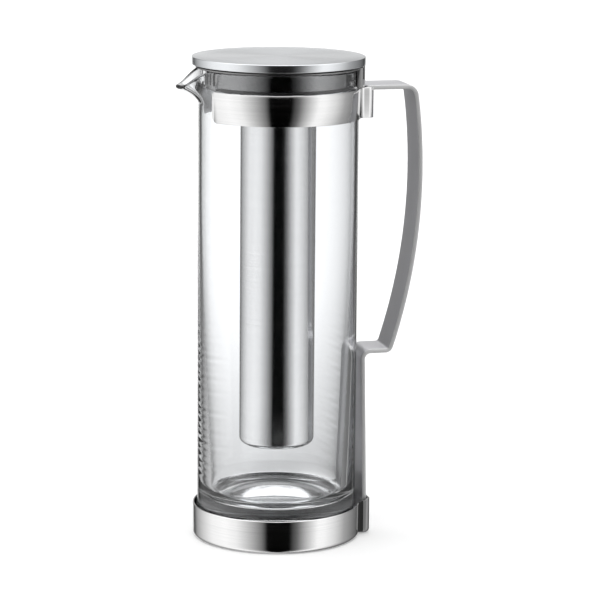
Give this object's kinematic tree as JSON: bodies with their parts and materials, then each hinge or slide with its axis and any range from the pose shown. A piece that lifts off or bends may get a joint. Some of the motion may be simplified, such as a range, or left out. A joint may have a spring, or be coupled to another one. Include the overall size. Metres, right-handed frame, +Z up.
{
  "type": "cooling carafe",
  "caption": "Tall glass jug in a steel holder with a flat bar handle, a spout, a flip-up steel lid and a lift-out steel tube that is filled with ice to cool the drink.",
  "frame": {"origin": "middle of the flat underside of the base cup", "axes": "+Z up, handle along +X, spout along -X, mirror plane XZ"},
  "size_m": [0.1483, 0.1034, 0.2916],
  "materials": {
    "polished_steel": "fine satin polish, bright",
    "satin_steel": "matt brushed along the bar",
    "brushed_steel": "circular brushing",
    "clear_glass": "clear, polished",
    "black_plastic": "moulded, glossy",
    "black_silicone": "matt",
    "clear_silicone": "matt, milky"
  },
  "bodies": {
    "holder": {"base_cup": "polished_steel", "base_pad": "clear_silicone", "glass_jug": "clear_glass", "neck_band": "polished_steel", "handle_bar": "satin_steel"},
    "insert": {"insert_body": "black_plastic", "neck_seal": "black_silicone", "rim_seal": "black_silicone", "cooling_tube": "polished_steel", "tube_collar": "black_plastic", "tube_seal_ring": "black_silicone", "hinge_pin": "satin_steel"},
    "lid": {"lid_base": "black_plastic", "lid_cap": "brushed_steel", "lid_gasket": "black_silicone"}
  },
  "joints": [
    {"name": "insert_lift", "type": "slide", "parent": "holder", "child": "insert", "axis": [0, 0, 1], "range_m": [0, 0.23]},
    {"name": "lid_hinge", "type": "hinge", "parent": "insert", "child": "lid", "pos_m": [0.05, 0, 0.2802], "axis": [0, 1, 0], "range_deg": [0, 100]}
  ]
}
